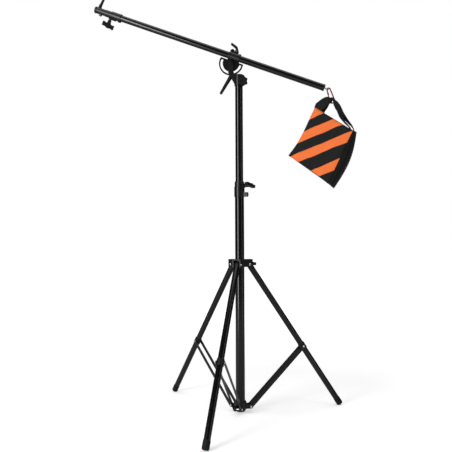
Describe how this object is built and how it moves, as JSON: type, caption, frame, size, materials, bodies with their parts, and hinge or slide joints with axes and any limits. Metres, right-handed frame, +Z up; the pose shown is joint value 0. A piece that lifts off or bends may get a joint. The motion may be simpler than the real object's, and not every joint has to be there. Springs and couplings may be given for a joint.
{
  "type": "boom light stand",
  "caption": "Folding tripod light stand with a telescoping column, a tilting two-section boom on a slotted head, and a striped counterweight sandbag on a hook.",
  "frame": {"origin": "on the floor, under the centre of the whole stand seen from above", "axes": "+Z up along the column, +X along the boom towards the sandbag end"},
  "size_m": [1.136, 0.7536, 1.7899],
  "materials": {
    "black_tube": "gloss",
    "black_casting": "satin",
    "black_plate": "satin",
    "black_plastic": "satin",
    "black_rubber": "matte",
    "plated_steel": "satin",
    "black_steel": "satin",
    "brass": "satin",
    "maroon_anodised": "gloss",
    "bag_orange": "matte",
    "bag_black": "matte"
  },
  "bodies": {
    "column": {"column_lower_tube": "black_tube", "column_end_cap": "black_plastic", "lower_spider": "black_casting", "column_lock_collar": "black_casting", "column_bush": "black_plastic", "spider_pin_right": "plated_steel", "spider_pin_left": "plated_steel", "spider_pin_front": "plated_steel"},
    "column_lock_knob": {"column_lock_knob": "black_plastic"},
    "upper_column": {"column_upper_tube": "black_tube", "column_slider": "black_plastic"},
    "leg_collar": {"leg_collar": "black_casting", "leg_pin_right": "plated_steel", "leg_pin_left": "plated_steel", "leg_pin_front": "plated_steel"},
    "collar_knob": {"collar_knob": "black_plastic"},
    "head": {"head_casting": "black_casting", "tilt_pivot_bolt": "black_steel", "tilt_lock_bolt": "black_steel"},
    "pan_knob": {"pan_knob": "black_plastic"},
    "tilt_handle": {"tilt_handle": "black_plastic"},
    "boom_clamp": {"boom_sleeve": "black_casting", "tilt_plate": "black_plate", "sleeve_lever_pin": "plated_steel"},
    "sleeve_lever": {"sleeve_lever": "black_plastic"},
    "boom": {"boom_outer_tube": "black_tube", "boom_end_plug": "black_plastic", "eye_screw": "plated_steel", "boom_lock_collar": "black_casting"},
    "boom_lock_knob": {"boom_lock_knob": "black_plastic"},
    "inner_boom": {"boom_inner_tube": "black_tube", "inner_bush": "black_plastic", "tip_casting": "black_casting", "tip_screw": "brass"},
    "tip_lever": {"tip_lever": "black_plastic"},
    "spigot": {"spigot": "plated_steel"},
    "hook": {"hook_body": "maroon_anodised", "hook_pin": "plated_steel"},
    "hook_gate": {"hook_gate": "maroon_anodised"},
    "bag": {"sandbag": "bag_orange", "sandbag_handle": "bag_black"},
    "leg_right": {"leg_tube_right": "black_tube", "leg_plug_right": "black_plastic", "leg_clip_right": "black_plastic", "foot_right": "black_rubber"},
    "brace_right": {"brace_right": "black_plate", "brace_rivet_right": "plated_steel"},
    "leg_left": {"leg_tube_left": "black_tube", "leg_plug_left": "black_plastic", "leg_clip_left": "black_plastic", "foot_left": "black_rubber"},
    "brace_left": {"brace_left": "black_plate", "brace_rivet_left": "plated_steel"},
    "leg_front": {"leg_tube_front": "black_tube", "leg_plug_front": "black_plastic", "leg_clip_front": "black_plastic", "foot_front": "black_rubber"},
    "brace_front": {"brace_front": "black_plate", "brace_rivet_front": "plated_steel"}
  },
  "joints": [
    {"name": "column_extend", "type": "slide", "parent": "column", "child": "upper_column", "axis": [0, 0, 1], "range_m": [-0.39, 0.38]},
    {"name": "tripod_fold", "type": "slide", "parent": "column", "child": "leg_collar", "axis": [0, 0, 1], "range_m": [0, 0.168]},
    {"name": "leg_right_fold", "type": "hinge", "parent": "leg_collar", "child": "leg_right", "pos_m": [0.11029, 0.08601, 0.6145], "axis": [-0.328, 0.9447, 0], "range_deg": [0, 34]},
    {"name": "brace_right_fold", "type": "hinge", "parent": "column", "child": "brace_right", "pos_m": [0.11076, 0.08618, 0.0234], "axis": [0.328, -0.9447, 0], "range_deg": [0, 44.85]},
    {"name": "leg_left_fold", "type": "hinge", "parent": "leg_collar", "child": "leg_left", "pos_m": [0.04105, 0.09928, 0.6145], "axis": [-0.6541, -0.7564, 0], "range_deg": [0, 34]},
    {"name": "brace_left_fold", "type": "hinge", "parent": "column", "child": "brace_left", "pos_m": [0.04068, 0.09961, 0.0234], "axis": [0.6541, 0.7564, 0], "range_deg": [0, 44.85]},
    {"name": "leg_front_fold", "type": "hinge", "parent": "leg_collar", "child": "leg_front", "pos_m": [0.06418, 0.03269, 0.6145], "axis": [0.9821, -0.1882, 0], "range_deg": [0, 34]},
    {"name": "brace_front_fold", "type": "hinge", "parent": "column", "child": "brace_front", "pos_m": [0.06409, 0.0322, 0.0234], "axis": [-0.9821, 0.1882, 0], "range_deg": [0, 44.85]},
    {"name": "column_lock_turn", "type": "hinge", "parent": "column", "child": "column_lock_knob", "pos_m": [0.07184, 0.07266, 0.946], "axis": [0.8192, -0.5736, 0], "range_deg": [0, 360]},
    {"name": "collar_knob_turn", "type": "hinge", "parent": "leg_collar", "child": "collar_knob", "pos_m": [0.07184, 0.07266, 0.619], "axis": [0.5878, 0.809, 0], "range_deg": [0, 360]},
    {"name": "head_pan", "type": "hinge", "parent": "upper_column", "child": "head", "pos_m": [0.07184, 0.07266, 1.391], "axis": [0, 0, 1], "continuous": true},
    {"name": "pan_knob_turn", "type": "hinge", "parent": "head", "child": "pan_knob", "pos_m": [0.07184, 0.07266, 1.391], "axis": [0.6428, -0.766, 0], "range_deg": [0, 360]},
    {"name": "tilt_handle_turn", "type": "hinge", "parent": "head", "child": "tilt_handle", "pos_m": [0.03854, 0.07266, 1.434], "axis": [0, 1, 0], "range_deg": [-100, 160]},
    {"name": "boom_tilt", "type": "hinge", "parent": "head", "child": "boom_clamp", "pos_m": [0.03854, 0.07266, 1.475], "axis": [0, 1, 0], "range_deg": [-58, 25]},
    {"name": "sleeve_lever_open", "type": "hinge", "parent": "boom_clamp", "child": "sleeve_lever", "pos_m": [0.06366, 0.07266, 1.52318], "axis": [0, 1, 0], "range_deg": [0, 70]},
    {"name": "boom_slide", "type": "slide", "parent": "boom_clamp", "child": "boom", "axis": [0.9323, 0, -0.3616], "range_m": [-0.1, 0.38]},
    {"name": "boom_extend", "type": "slide", "parent": "boom", "child": "inner_boom", "axis": [-0.9323, 0, 0.3616], "range_m": [0, 0.85]},
    {"name": "boom_lock_turn", "type": "hinge", "parent": "boom", "child": "boom_lock_knob", "pos_m": [-0.48856, 0.07266, 1.71163], "axis": [0.3616, 0, 0.9323], "range_deg": [0, 360]},
    {"name": "tip_lever_turn", "type": "hinge", "parent": "inner_boom", "child": "tip_lever", "pos_m": [-0.54823, 0.07266, 1.73477], "axis": [0.3616, 0, 0.9323], "range_deg": [-90, 90]},
    {"name": "spigot_pull", "type": "slide", "parent": "inner_boom", "child": "spigot", "axis": [-0.9323, 0, 0.3616], "range_m": [0, 0.03]},
    {"name": "hook_hang", "type": "hinge", "parent": "boom", "child": "hook", "pos_m": [0.44889, 0.07266, 1.34801], "axis": [0, 1, 0], "range_deg": [-25.5, 58.5]},
    {"name": "hook_gate_open", "type": "hinge", "parent": "hook", "child": "hook_gate", "pos_m": [0.45295, 0.07266, 1.30235], "axis": [0, 1, 0], "range_deg": [0, 16], "stiffness_Nm_per_rad": 0.02, "springref_deg": -17.19},
    {"name": "bag_swing", "type": "hinge", "parent": "hook", "child": "bag", "pos_m": [0.46405, 0.07266, 1.29743], "axis": [0, 1, 0], "range_deg": [-12, 12]}
  ],
  "couplings": [
    {"joint": "hook_hang", "follows": "boom_tilt", "ratio": -1},
    {"joint": "leg_right_fold", "follows": "tripod_fold", "rad_per_m": 3.5062},
    {"joint": "brace_right_fold", "follows": "tripod_fold", "rad_per_m": 4.6334},
    {"joint": "leg_left_fold", "follows": "tripod_fold", "rad_per_m": 3.5062},
    {"joint": "brace_left_fold", "follows": "tripod_fold", "rad_per_m": 4.6334},
    {"joint": "leg_front_fold", "follows": "tripod_fold", "rad_per_m": 3.5062},
    {"joint": "brace_front_fold", "follows": "tripod_fold", "rad_per_m": 4.6334}
  ]
}
